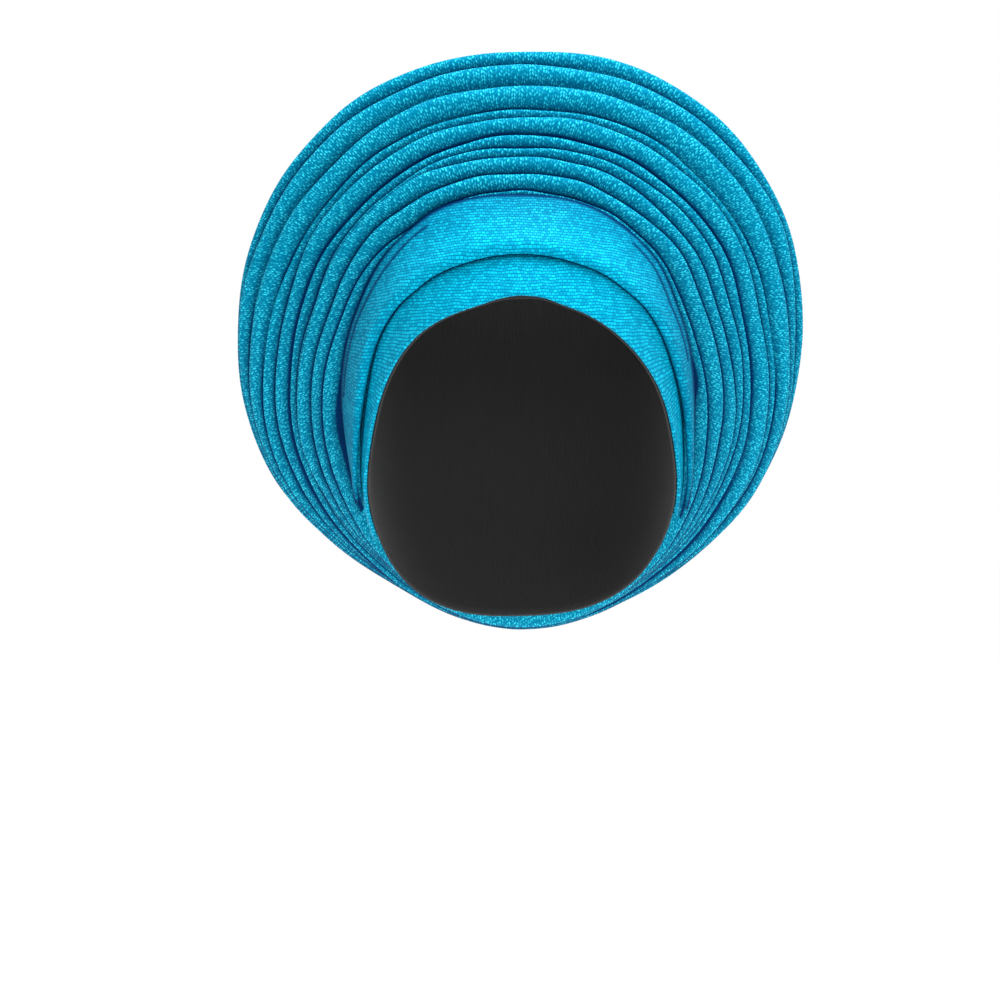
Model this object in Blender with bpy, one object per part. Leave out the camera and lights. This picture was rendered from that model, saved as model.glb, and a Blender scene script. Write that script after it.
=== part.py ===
"""A pleated fan head wrap: a close cap, two brow bands and a fan of ten round pleats behind them.

The origin is the crown of the head inside the cap, +Z is up and the wearer looks along -Y.
Lengths are in millimetres until a mesh is made.

Places are given round the fan. The clock angle runs from 0 at the top, positive towards +X, to 180 at
the nape. The radius is the distance from the fan's axis, a line along Y, and depth is Y itself.
"""
import bmesh
import bpy
import numpy as np

MM = 0.001

# Head form: an upright egg with a full back, which the inner cap lies on.
HEAD_HALF_WIDTH = 75.0
HEAD_HALF_DEPTH = 96.0
HEAD_CENTRE_Z = -75.0
HEAD_CROWN = 75.0
HEAD_JAW = 150.0
CROWN_FULLNESS = 3.0
JAW_FULLNESS = 3.5
FRONT_FULLNESS = 2.0
BACK_FULLNESS = 2.6

# The fan's axis, and the two heights where the depth of each page of the fan is given.
FAN_X = -1.5
FAN_Z = -55.0
TOP_Z = 75.0
NAPE_Z = -200.0

# Layers, as distances out from the head form.
INNER_CAP = (0.0, 1.0)
CROWN_CAP = (1.3, 2.8)
PLEAT_SEAT = 3.3
FOREHEAD_BAND_BACK = 1.3
UPPER_BAND_CENTRE = 6.6

STATIONS = 34
CROWN_RINGS = 7
PLEAT_WALL = 1.15
PLEAT_CLEARANCE = 0.17
NOSE_LENGTH = 7.0
NOSE_SHARE = 0.6
LEAST_FOLD = 3.0
PIECE_GAP = 0.35

# Clock angles of the columns in the two tables below.
CLOCK = (-180, -150, -120, -90, -70, -45, 0, 45, 70, 90, 120, 150)

# Radius of each pleat's fold, and how thick its page is at the top height and at the nape.
#   name        nape   l150   l120   l90    l70    l45    top    r45    r70    r90    r120   r150    top   nape
PLEATS = (
    ("pleat_01", (153.0, 144.0, 144.0, 139.0, 135.0, 131.0, 126.0, 135.0, 139.0, 139.5, 145.0, 147.0), 10.0, 3.0),
    ("pleat_02", (153.0, 143.5, 143.5, 137.0, 130.5, 124.5, 117.5, 127.5, 134.5, 136.0, 144.5, 147.0), 13.0, 3.0),
    ("pleat_03", (153.0, 142.5, 142.0, 129.5, 121.5, 113.0, 107.0, 117.5, 126.0, 131.5, 143.5, 146.5), 15.0, 3.0),
    ("pleat_04", (152.5, 142.0, 138.0, 120.5, 110.5, 101.5, 95.5, 105.0, 114.5, 121.5, 138.0, 146.0), 6.5, 3.0),
    ("pleat_05", (152.5, 141.0, 132.0, 114.0, 106.0, 97.5, 91.0, 101.0, 110.5, 116.5, 137.0, 145.0), 12.0, 3.0),
    ("pleat_06", (152.0, 140.0, 125.5, 105.5, 96.5, 87.0, 82.0, 90.5, 100.5, 108.0, 127.0, 141.5), 8.0, 3.0),
    ("pleat_07", (152.0, 137.5, 122.0, 100.0, 92.0, 83.0, 76.5, 85.0, 95.5, 103.0, 122.5, 140.5), 7.5, 3.0),
    ("pleat_08", (152.0, 136.5, 121.5, 99.5, 90.5, 80.5, 71.5, 78.5, 88.0, 95.5, 120.0, 139.5), 11.0, 3.0),
    ("pleat_09", (151.5, 135.0, 115.0, 91.0, 81.5, 71.5, 63.0, 70.5, 80.5, 89.0, 113.5, 138.0), 12.0, 3.0),
    ("pleat_10", (151.5, 134.0, 109.0, 83.5, 73.0, 62.0, 55.0, 62.0, 71.0, 79.5, 105.0, 137.0), 5.0, 3.0),
)
FAN_BACK_TOP_Y = -32.0
FAN_BACK_NAPE_Y = 102.0

# Radius of the upper band's top edge.
#                 nape   l150   l120  l90   l70   l45   top   r45   r70   r90   r120  r150
UPPER_BAND_TOP = (147.0, 129.5, 98.0, 77.5, 69.5, 61.5, 53.0, 60.5, 69.0, 76.0, 97.0, 136.0)

# Edges on the head form, as degrees turned back from straight ahead.
#   clock  face edge  upper band's fold
EDGES = (
    (-180, 115.0, 116.0),
    (-150, 103.5, 104.5),
    (-132, 76.0, 80.0),
    (-120, 58.0, 68.0),
    (-105, 35.5, 55.0),
    (-90, 15.0, 42.0),
    (-75, 7.5, 30.0),
    (-45, 4.6, 21.0),
    (0, 3.4, 15.6),
    (45, 4.6, 20.8),
    (75, 8.0, 29.5),
    (90, 14.5, 41.0),
    (105, 32.0, 54.5),
    (120, 58.0, 71.0),
    (132, 77.0, 82.0),
    (150, 105.5, 106.5),
)

# Forehead band: how much of the inner cap shows below it, how far it runs under the upper band, and
# how far behind it the crown cap starts.
CAP_REVEAL_DEG = 0.8
BAND_UNDERLAP_DEG = 4.5
CROWN_CAP_SETBACK_DEG = 1.6
FOREHEAD_BAND_END = 150
UPPER_BAND_END = 140
UPPER_BAND_BULGE = 1.5
UPPER_BAND_HALF_THICK = 1.0
BAND_TIP_SHARE = 0.12
BAND_TAPER_DEG = 35.0

# Section of the forehead band: share of its width up from the hem, and distance out from the head form.
FOREHEAD_SECTION = (
    (0.02, FOREHEAD_BAND_BACK),
    (0.00, 2.2),
    (0.03, 3.1),
    (0.35, 3.3),
    (0.70, 3.3),
    (1.00, 3.1),
    (1.00, FOREHEAD_BAND_BACK),
    (0.50, FOREHEAD_BAND_BACK),
)

# Section of the upper band: share of its width up from the fold, and distance in front of its middle.
UPPER_SECTION = (
    (0.00, 0.0),
    (0.04, 2.2),
    (0.13, 3.0),
    (0.32, 2.2),
    (0.65, 1.3),
    (1.00, UPPER_BAND_HALF_THICK),
    (1.00, -UPPER_BAND_HALF_THICK),
    (0.60, -1.3),
    (0.22, -2.2),
    (0.06, -2.0),
)

BLACK_CLOTH = (0.012, 0.012, 0.014, 1.0)
FRONT_CLOTH = (0.0, 0.50, 0.72, 1.0)
RIM_CLOTH = (0.0, 0.30, 0.48, 1.0)
CLOTH_ROUGHNESS = 0.55
SHARP_EDGE_DEG = 50.0

# The head form's surface is found by halving the way out from a point inside it.
SEARCH_REACH = 250.0
SEARCH_HALVINGS = 40


def clear_scene():
    for old in list(bpy.data.objects):
        bpy.data.objects.remove(old, do_unlink=True)


def station_angles():
    """Clock angles of the sections, in degrees, which every piece shares so that neighbours stay clear."""
    return -180.0 + 360.0 * np.arange(STATIONS) / STATIONS


def round_clock(row, angles, clock=CLOCK):
    """Closed smooth curve through one row of a table: cubic steps whose slopes come from the neighbours."""
    clock = np.array(clock, float)
    row = np.array(row, float)
    count = len(clock)
    before = np.arange(count) - 1
    after = (np.arange(count) + 1) % count
    step = (clock[after] - clock) % 360.0
    slope = (row[after] - row[before]) / (step + step[before])
    index = np.searchsorted(clock, angles, side="right") - 1
    share = (angles - clock[index]) / step[index]
    after = after[index]
    start, end = row[index], row[after]
    leave, arrive = slope[index] * step[index], slope[after] * step[index]
    square, cube = share ** 2, share ** 3
    return (start * (2 * cube - 3 * square + 1) + leave * (cube - 2 * square + share)
            + end * (3 * square - 2 * cube) + arrive * (cube - square))


def outside_head(x, y, z, grow):
    """True where a point is outside the head form, grown all round by a distance."""
    above = z > HEAD_CENTRE_Z
    reach = np.where(above, HEAD_CROWN, HEAD_JAW) + grow
    fullness = np.where(above, CROWN_FULLNESS, JAW_FULLNESS)
    level = 1.0 - (np.abs(z - HEAD_CENTRE_Z) / reach) ** fullness
    girth = np.sqrt(np.maximum(level, 1e-9))
    power = np.where(y < 0, FRONT_FULLNESS, BACK_FULLNESS)
    plan = ((np.abs(x) / (girth * (HEAD_HALF_WIDTH + grow))) ** power
            + (np.abs(y) / (girth * (HEAD_HALF_DEPTH + grow))) ** power)
    return (level <= 0) | (plan > 1)


def distance_to_head(point_at, grow, count):
    """Distance along each line at which it leaves the grown head form, by halving."""
    low = np.zeros(count)
    high = np.full(count, SEARCH_REACH)
    for _ in range(SEARCH_HALVINGS):
        middle = (low + high) / 2
        out = outside_head(*point_at(middle), grow)
        high = np.where(out, middle, high)
        low = np.where(out, low, middle)
    return low


def place(clock, radius, depth):
    """Point at a clock angle in degrees, a radius from the fan's axis and a depth."""
    angle = np.radians(clock)
    return FAN_X + radius * np.sin(angle), depth, FAN_Z + radius * np.cos(angle)


def on_head(clock, turn, grow):
    """Radius and depth of the grown head form at a clock angle and a turn back from straight ahead."""
    turn = np.radians(turn)

    def point_at(distance):
        return place(clock, distance * np.sin(turn), -distance * np.cos(turn))

    distance = distance_to_head(point_at, grow, len(clock))
    return distance * np.sin(turn), -distance * np.cos(turn)


class Page:
    """A flat page of the fan: a plane level along X, given by its depth at the top and at the nape."""

    def __init__(self, top_y, nape_y):
        self.top_y = top_y
        self.nape_y = nape_y

    def depth(self, clock, radius):
        height = FAN_Z + radius * np.cos(np.radians(clock))
        share = (height - NAPE_Z) / (TOP_Z - NAPE_Z)
        return self.nape_y + share * (self.top_y - self.nape_y)

    def seat_radius(self, clock, shift):
        """Radius at which the page, moved back by a shift, comes down on the pleats' seat."""

        def point_at(radius):
            return place(clock, radius, self.depth(clock, radius) + shift)

        return distance_to_head(point_at, PLEAT_SEAT, len(clock))


def fan_pages():
    """The pages between the pleats, from the back of the fan to the front."""
    pages = [Page(FAN_BACK_TOP_Y, FAN_BACK_NAPE_Y)]
    for _, _, top_width, nape_width in PLEATS:
        pages.append(Page(pages[-1].top_y - top_width, pages[-1].nape_y - nape_width))
    return pages


def pleat_sections(fold_radius, front, back, clock):
    """Sections of a pleat: a hairpin of cloth that is open towards the cap and rounded at its fold.

    Each leaf is a flat sheet just inside its page, and the fold is half an ellipse between them.
    """
    root = front.seat_radius(clock, PLEAT_CLEARANCE)
    fold_radius = np.maximum(fold_radius, root + LEAST_FOLD)
    nose = np.minimum(NOSE_LENGTH, NOSE_SHARE * (fold_radius - root))

    def leaf(page, shift):
        radius = page.seat_radius(clock, shift)
        return radius, page.depth(clock, radius) + shift

    def fold(degrees, inset):
        swing = np.radians(degrees)
        radius = fold_radius - nose + (nose - inset) * np.cos(swing)
        near, far = front.depth(clock, radius), back.depth(clock, radius)
        half = (far - near) / 2 - PLEAT_CLEARANCE - inset
        return radius, (near + far) / 2 + half * np.sin(swing)

    inner = PLEAT_CLEARANCE + PLEAT_WALL
    points = [leaf(front, PLEAT_CLEARANCE)]
    points += [fold(degrees, 0.0) for degrees in (-90, -50, 0, 50, 90)]
    points += [leaf(back, -PLEAT_CLEARANCE), leaf(back, -inner)]
    points += [fold(degrees, PLEAT_WALL) for degrees in (90, 0, -90)]
    points += [leaf(front, inner)]
    return points


def band_taper(clock, end):
    """1 along the band, easing to a small tip at its two ends."""
    share = np.clip((end - np.abs(clock)) / BAND_TAPER_DEG, 0.0, 1.0)
    return BAND_TIP_SHARE + (1.0 - BAND_TIP_SHARE) * np.sqrt(share * (2.0 - share))


def head_edges(clock):
    """Turns of the face edge and of the upper band's fold."""
    columns, face_edge, band_fold = zip(*EDGES)
    return round_clock(face_edge, clock, columns), round_clock(band_fold, clock, columns)


def forehead_band_edges(clock):
    """Turns of the forehead band's hem and of its top edge, which is hidden under the upper band."""
    face_edge, band_fold = head_edges(clock)
    hem = face_edge + CAP_REVEAL_DEG
    width = band_fold + BAND_UNDERLAP_DEG - hem
    return hem, hem + band_taper(clock, FOREHEAD_BAND_END) * width


def forehead_band_sections(front_page, clock):
    """Sections of the forehead band, a strip on the inner cap from its hem to under the upper band."""
    hem, top = forehead_band_edges(clock)
    points = []
    for share, out in FOREHEAD_SECTION:
        radius, depth = on_head(clock, hem + share * (top - hem), out)
        points.append((radius, np.minimum(depth, front_page.depth(clock, radius) - PIECE_GAP)))
    return points


def upper_band_sections(front_page, clock):
    """Sections of the upper band: a rolled fold below, and a wall that rises to the foremost pleat."""
    taper = band_taper(clock, UPPER_BAND_END)
    _, band_fold = head_edges(clock)
    low_radius, low_depth = on_head(clock, band_fold, UPPER_BAND_CENTRE)
    top_radius = round_clock(UPPER_BAND_TOP, clock)
    top_depth = front_page.depth(clock, top_radius) - PIECE_GAP - UPPER_BAND_HALF_THICK
    rise, back = top_radius - low_radius, top_depth - low_depth
    length = np.hypot(rise, back)
    points = []
    for share, out in UPPER_SECTION:
        along = share * taper
        forward = (out + UPPER_BAND_BULGE * 4 * share * (1 - share)) * taper
        radius = low_radius + along * rise + forward * back / length
        depth = low_depth + along * back - forward * rise / length
        points.append((radius, np.minimum(depth, front_page.depth(clock, radius) - PIECE_GAP)))
    return points


def mesh_object(name, bm, colour):
    """Make a closed bmesh in millimetres the mesh of a new object with a cloth material."""
    bmesh.ops.recalc_face_normals(bm, faces=bm.faces)
    bmesh.ops.scale(bm, vec=(MM, MM, MM), verts=bm.verts)
    mesh = bpy.data.meshes.new(name)
    bm.to_mesh(mesh)
    bm.free()
    mesh.shade_smooth()
    mesh.set_sharp_from_angle(angle=np.radians(SHARP_EDGE_DEG))
    material = bpy.data.materials.new(name)
    material.use_nodes = True
    cloth = material.node_tree.nodes["Principled BSDF"]
    cloth.inputs["Base Color"].default_value = colour
    cloth.inputs["Roughness"].default_value = CLOTH_ROUGHNESS
    cloth.inputs["Metallic"].default_value = 0.0
    mesh.materials.append(material)
    new = bpy.data.objects.new(name, mesh)
    bpy.context.scene.collection.objects.link(new)


def add_loops(bm, clock, points):
    """One ring of vertices for each station: row i holds the section at clock angle i."""
    rings = []
    for station, angle in enumerate(clock):
        ring = [bm.verts.new(place(angle, radius[station], depth[station])) for radius, depth in points]
        rings.append(ring)
    return rings


def join_rings(bm, first, second, turned=False):
    """Triangles between two rings of vertices, whose diagonals run the other way if turned."""
    for i, start in enumerate(first):
        j = (i + 1) % len(first)
        corner = second[i] if turned else second[j]
        bm.faces.new((start, first[j], corner))
        bm.faces.new((first[j] if turned else start, second[j], second[i]))


def add_closed_ring(name, clock, points, colour):
    """A piece that goes all the way round, such as a pleat."""
    bm = bmesh.new()
    rings = add_loops(bm, clock, points)
    for i, ring in enumerate(rings):
        join_rings(bm, ring, rings[(i + 1) % len(rings)])
    mesh_object(name, bm, colour)


def add_crescent(name, clock, points, colour):
    """A piece that ends in two tips, such as a band."""
    bm = bmesh.new()
    rings = add_loops(bm, clock, points)
    for first, second in zip(rings, rings[1:]):
        join_rings(bm, first, second)
    bm.faces.new(rings[0])
    bm.faces.new(rings[-1])
    mesh_object(name, bm, colour)


def add_cap(name, clock, turns, layer, colour):
    """A cap between two distances from the head form, from its edge back to a pole behind the head.

    The diagonals of its two walls run the same way, so that caps with the same turns stay clear.
    """
    inner, outer = layer
    bm = bmesh.new()
    walls = [on_head(clock, turn, inner) for turn in turns[::-1]]
    walls += [on_head(clock, turn, outer) for turn in turns]
    loops = []
    for radius, depth in walls:
        x, y, z = place(clock, radius, depth)
        loops.append([bm.verts.new(point) for point in zip(x, y, z)])
    for number, (first, second) in enumerate(zip(loops, loops[1:])):
        join_rings(bm, first, second, turned=number >= len(turns))
    for loop, out in ((loops[0], inner), (loops[-1], outer)):
        _, depth = on_head(np.zeros(1), 180.0, out)
        pole = bm.verts.new((FAN_X, depth[0], FAN_Z))
        for i, vertex in enumerate(loop):
            bm.faces.new((vertex, loop[(i + 1) % len(loop)], pole))
    mesh_object(name, bm, colour)


def add_caps(clock):
    """The inner cap and the crown cap over it, which share their turns so that they stay clear."""
    face_edge, _ = head_edges(clock)
    hem, band_top = forehead_band_edges(clock)
    crown_edge = band_top + CROWN_CAP_SETBACK_DEG
    crown_turns = [crown_edge + (180.0 - crown_edge) * ring / CROWN_RINGS for ring in range(CROWN_RINGS)]
    front_turns = [face_edge, (hem + band_top) / 2, band_top]
    add_cap("inner_cap", clock, front_turns + crown_turns, INNER_CAP, BLACK_CLOTH)
    add_cap("crown_cap", clock, crown_turns, CROWN_CAP, FRONT_CLOTH)


def build():
    clear_scene()
    clock = station_angles()
    pages = fan_pages()
    add_caps(clock)
    near = clock[np.abs(clock) < FOREHEAD_BAND_END]
    add_crescent("forehead_band", near, forehead_band_sections(pages[-1], near), FRONT_CLOTH)
    near = clock[np.abs(clock) < UPPER_BAND_END]
    add_crescent("upper_band", near, upper_band_sections(pages[-1], near), FRONT_CLOTH)
    for number, (name, row, _, _) in enumerate(PLEATS):
        points = pleat_sections(round_clock(row, clock), pages[number + 1], pages[number], clock)
        share = number / (len(PLEATS) - 1)
        colour = tuple(share * f + (1 - share) * r for f, r in zip(FRONT_CLOTH, RIM_CLOTH))
        add_closed_ring(name, clock, points, colour)


build()
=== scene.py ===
# %% [markdown]
# # A pleated fan head wrap
# The real thing is a ready-made head wrap: a close cap, two bands over the brow, and a tall round fan of
# pleats behind them, in a stiff turquoise cloth with silvery dashes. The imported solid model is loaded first
# and stays fixed. Every cloth piece is then made again over its solid as a fine surface with soft folds.
# Lengths are in millimetres until a mesh is made.

import bpy
import numpy as np
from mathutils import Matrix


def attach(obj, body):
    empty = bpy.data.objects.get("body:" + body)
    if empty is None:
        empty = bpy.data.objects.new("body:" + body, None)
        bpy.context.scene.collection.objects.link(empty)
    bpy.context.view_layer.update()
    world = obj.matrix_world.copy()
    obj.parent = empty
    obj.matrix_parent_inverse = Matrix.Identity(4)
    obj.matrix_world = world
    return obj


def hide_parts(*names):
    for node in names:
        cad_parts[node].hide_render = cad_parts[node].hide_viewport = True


MM = 0.001
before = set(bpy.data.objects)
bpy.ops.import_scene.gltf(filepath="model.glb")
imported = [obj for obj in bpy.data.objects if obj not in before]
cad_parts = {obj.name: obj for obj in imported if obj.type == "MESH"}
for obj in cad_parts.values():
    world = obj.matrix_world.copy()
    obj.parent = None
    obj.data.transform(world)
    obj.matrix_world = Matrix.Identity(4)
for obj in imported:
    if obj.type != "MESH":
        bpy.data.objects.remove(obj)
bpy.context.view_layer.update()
print("nodes:", sorted(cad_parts))

# %% [markdown]
# ## Camera
# The picture was taken level and from straight ahead, a little below the middle of the fan, with a longish
# lens. The distance and the lens are chosen together, so that the face opening has its true width. The plain
# sRGB transform keeps the strong colour of the cloth and the white of the studio.

# %% Camera
CAMERA_AT = (-10.6, -1396.0, -141.1)
LENS = 104.0
SENSOR = 36.0

camera = bpy.data.objects.new("camera", bpy.data.cameras.new("camera"))
camera.data.lens = LENS
camera.data.sensor_width = SENSOR
camera.location = [place * MM for place in CAMERA_AT]
camera.rotation_euler = (np.pi / 2, 0.0, 0.0)
bpy.context.scene.collection.objects.link(camera)
bpy.context.scene.camera = camera
bpy.context.scene.view_settings.view_transform = "Standard"
print("camera at", CAMERA_AT, "mm, lens", LENS, "mm")

# %% [markdown]
# ## The head form
# Cloth takes its shape from what it lies on. Here that is an egg-shaped head form with a full back, the same
# one that the solids lie on. Places are given round the fan: a clock angle that is 0 at the top and positive
# towards +X, a radius from the fan's axis, and a depth, which is Y itself.

# %% Head form and places round the fan
HEAD_HALF_WIDTH, HEAD_HALF_DEPTH = 75.0, 96.0
HEAD_CENTRE_Z, HEAD_CROWN, HEAD_JAW = -75.0, 75.0, 150.0
CROWN_FULLNESS, JAW_FULLNESS = 3.0, 3.5
FRONT_FULLNESS, BACK_FULLNESS = 2.0, 2.6
FAN_X, FAN_Z = -1.5, -55.0
SEARCH_REACH, SEARCH_HALVINGS = 250.0, 32


def place(clock, radius, depth):
    """Points from clock angle, radius and depth: x = FAN_X + r sin a, y = depth, z = FAN_Z + r cos a."""
    angle = np.radians(clock)
    return FAN_X + radius * np.sin(angle), depth + 0.0 * angle, FAN_Z + radius * np.cos(angle)


def outside_head(x, y, z, grow):
    """True outside the head form: its girth is the square root of 1 - (height share)^fullness, and each
    level is a superellipse, |x / half width|^p + |y / half depth|^p = 1, of that girth."""
    above = z > HEAD_CENTRE_Z
    reach = np.where(above, HEAD_CROWN, HEAD_JAW) + grow
    level = 1.0 - (np.abs(z - HEAD_CENTRE_Z) / reach) ** np.where(above, CROWN_FULLNESS, JAW_FULLNESS)
    girth = np.sqrt(np.maximum(level, 1e-9))
    power = np.where(y < 0, FRONT_FULLNESS, BACK_FULLNESS)
    plan = ((np.abs(x) / (girth * (HEAD_HALF_WIDTH + grow))) ** power
            + (np.abs(y) / (girth * (HEAD_HALF_DEPTH + grow))) ** power)
    return (level <= 0) | (plan > 1)


def distance_to_head(point_at, grow, shape):
    """Distance along each line at which it leaves the grown head form, found by halving."""
    low, high = np.zeros(shape), np.full(shape, SEARCH_REACH)
    for _ in range(SEARCH_HALVINGS):
        middle = (low + high) / 2
        out = outside_head(*point_at(middle), grow)
        low, high = np.where(out, low, middle), np.where(out, middle, high)
    return low


def on_head(clock, turn, grow):
    """Radius and depth on the head form: the ray leaves the centre at the clock angle, turned back from
    straight ahead, so radius = d sin(turn) and depth = -d cos(turn)."""
    clock, turn, grow = np.broadcast_arrays(clock, np.radians(turn), grow)

    def point_at(distance):
        return place(clock, distance * np.sin(turn), -distance * np.cos(turn))

    distance = distance_to_head(point_at, grow, clock.shape)
    return distance * np.sin(turn), -distance * np.cos(turn)


print("brow depth on the head form:", np.round(on_head(0.0, 10.0, 0.0)[1], 1), "mm")

# %% [markdown]
# ## Smooth curves through short tables
# A pattern maker marks a few points and draws a fair curve through them. A cubic step between neighbours,
# whose slope at each point is that of the chord between the points beside it, does the same and never
# needs more than one small table.

# %% Curves through tables


def fair_curve(columns, row, at, closed=360.0):
    """Cubic Hermite steps through the points of one row, which comes round again after a full turn."""
    columns, row, at = np.array(columns, float), np.array(row, float), np.asarray(at, float)
    columns = np.concatenate((columns[-2:] - closed, columns, columns[:2] + closed))
    row = np.concatenate((row[-2:], row, row[:2]))
    slope = np.zeros(len(row))
    slope[1:-1] = (row[2:] - row[:-2]) / (columns[2:] - columns[:-2])
    index = np.clip(np.searchsorted(columns, at, side="right") - 1, 0, len(row) - 2)
    step = columns[index + 1] - columns[index]
    share = (at - columns[index]) / step
    square, cube = share ** 2, share ** 3
    return (row[index] * (2 * cube - 3 * square + 1) + slope[index] * step * (cube - 2 * square + share)
            + row[index + 1] * (3 * square - 2 * cube) + slope[index + 1] * step * (cube - square))


def soft_step(value):
    """0 below 0, 1 above 1, and 3s^2 - 2s^3 between them."""
    share = np.clip(value, 0.0, 1.0)
    return share * share * (3.0 - 2.0 * share)


# %% [markdown]
# ## From arrays to a mesh
# Every piece is one grid of points: stations round the clock by steps along its section. A numpy array
# holds the grid, so that no vertex is ever handled alone. The section is a closed loop with a real cloth
# thickness, which leaves no open edge. The UV map holds millimetres of cloth, so a weave has its real size.

# %% Mesh helper
# Limits in mm of out_of_crease, which sets the painted crease shade; at OPEN_CLOTH there is none.
OPEN_CLOTH, DEEPEST_CREASE = 20.0, -5.0


def grid_faces(stations, steps, close_stations, close_steps):
    """Corner stations and steps of every quad of a grid, as two arrays with four columns."""
    i, j = np.meshgrid(np.arange(stations if close_stations else stations - 1),
                       np.arange(steps if close_steps else steps - 1), indexing="ij")
    i, j = i.ravel(), j.ravel()
    return np.stack((i, i + 1, i + 1, i), 1), np.stack((j, j, j + 1, j + 1), 1)


def cloth_piece(name, points, cloth_uv, out_of_crease, close_stations=True, poles=False):
    """Make a closed mesh from points[station, step, xyz] in mm.

    cloth_uv has one more station and step than the grid, in mm of cloth. out_of_crease is how many mm each
    point lies out of the nearest crease, and it sets the painted crease shade. A piece with poles has its
    first and last steps drawn together.
    """
    stations, steps, _ = points.shape
    station, step = grid_faces(stations, steps, close_stations, not poles)
    quads = (station % stations) * steps + step % steps
    quad_uv = cloth_uv[station, step]
    co, shade = points.reshape(-1, 3), np.clip(out_of_crease, DEEPEST_CREASE, OPEN_CLOTH).reshape(-1)
    tris, tri_uv = np.zeros((0, 3), int), np.zeros((0, 3, 2))
    if poles:
        turn = np.arange(stations)
        ends = ((0, len(co), 1), (steps - 1, len(co) + 1, -1))
        for end, pole, way in ends:
            first, second = turn * steps + end, (turn + 1) % stations * steps + end
            corners = np.stack((second, first, np.full(stations, pole)), 1)[:, ::way]
            uv = np.stack((cloth_uv[turn + 1, end], cloth_uv[turn, end], cloth_uv[turn, end]), 1)[:, ::way]
            tris, tri_uv = np.concatenate((tris, corners)), np.concatenate((tri_uv, uv))
        co = np.concatenate((co, points[:, :1].mean(0), points[:, -1:].mean(0)))
        shade = np.concatenate((shade, [OPEN_CLOTH, OPEN_CLOTH]))
    ends = [] if close_stations else [np.arange(steps)[::-1], (stations - 1) * steps + np.arange(steps)]
    loops = np.concatenate([quads.ravel(), tris.ravel(), *ends]).astype(np.int32)
    totals = np.array([4] * len(quads) + [3] * len(tris) + [steps] * len(ends), np.int32)
    starts = np.concatenate(([0], np.cumsum(totals)[:-1])).astype(np.int32)
    end_uv = [cloth_uv[0, :steps][::-1], cloth_uv[stations - 1, :steps]] if ends else []
    uv = np.concatenate([quad_uv.reshape(-1, 2), tri_uv.reshape(-1, 2), *end_uv])

    a, b, c = co[quads[:, 0]], co[quads[:, 1]], co[quads[:, 2]]
    d = co[quads[:, 3]]
    volume = np.einsum("ij,ij->", a, np.cross(b, c)) + np.einsum("ij,ij->", a, np.cross(c, d))
    if volume < 0:
        order = np.arange(len(loops))
        back = starts.repeat(totals) + totals.repeat(totals) - 1 - (order - starts.repeat(totals))
        loops, uv = loops[back], uv[back]

    mesh = bpy.data.meshes.new(name)
    mesh.vertices.add(len(co))
    mesh.vertices.foreach_set("co", (co * MM).ravel().astype(np.float32))
    mesh.loops.add(len(loops))
    mesh.loops.foreach_set("vertex_index", loops)
    mesh.polygons.add(len(totals))
    mesh.polygons.foreach_set("loop_start", starts)
    mesh.polygons.foreach_set("loop_total", totals)
    mesh.update(calc_edges=True)
    mesh.uv_layers.new(name="cloth_mm")
    mesh.uv_layers["cloth_mm"].data.foreach_set("uv", uv.ravel().astype(np.float32))
    creases = mesh.attributes.new("out_of_crease", "FLOAT", "POINT")
    creases.data.foreach_set("value", shade.astype(np.float32))
    mesh.shade_smooth()
    made = bpy.data.objects.new(name, mesh)
    bpy.context.scene.collection.objects.link(made)
    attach(made, "root")
    print(name, "has", len(quads) * 2 + len(tris), "triangles")
    return made


def along(points, close=False):
    """Running length of each station's section, in mm, from the distances between neighbouring points."""
    following = np.concatenate((points, points[:, :1]), 1) if close else points
    steps = np.linalg.norm(np.diff(following, axis=1), axis=2)
    return np.concatenate((np.zeros((len(points), 1)), np.cumsum(steps, 1)), 1)


# %% [markdown]
# ## Pleats
# Each pleat is a long fold of cloth, sewn to the cap along its two raw edges and rounded where it turns.
# All ten lean on one another like the pages of a book that is held at the nape. So each has a page of its
# own between two planes, which fan out from the nape, and its rounded fold ends at its own radius.

# %% The fan's tables
CLOCK = (-180, -150, -120, -90, -70, -45, 0, 45, 70, 90, 120, 150)

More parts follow.
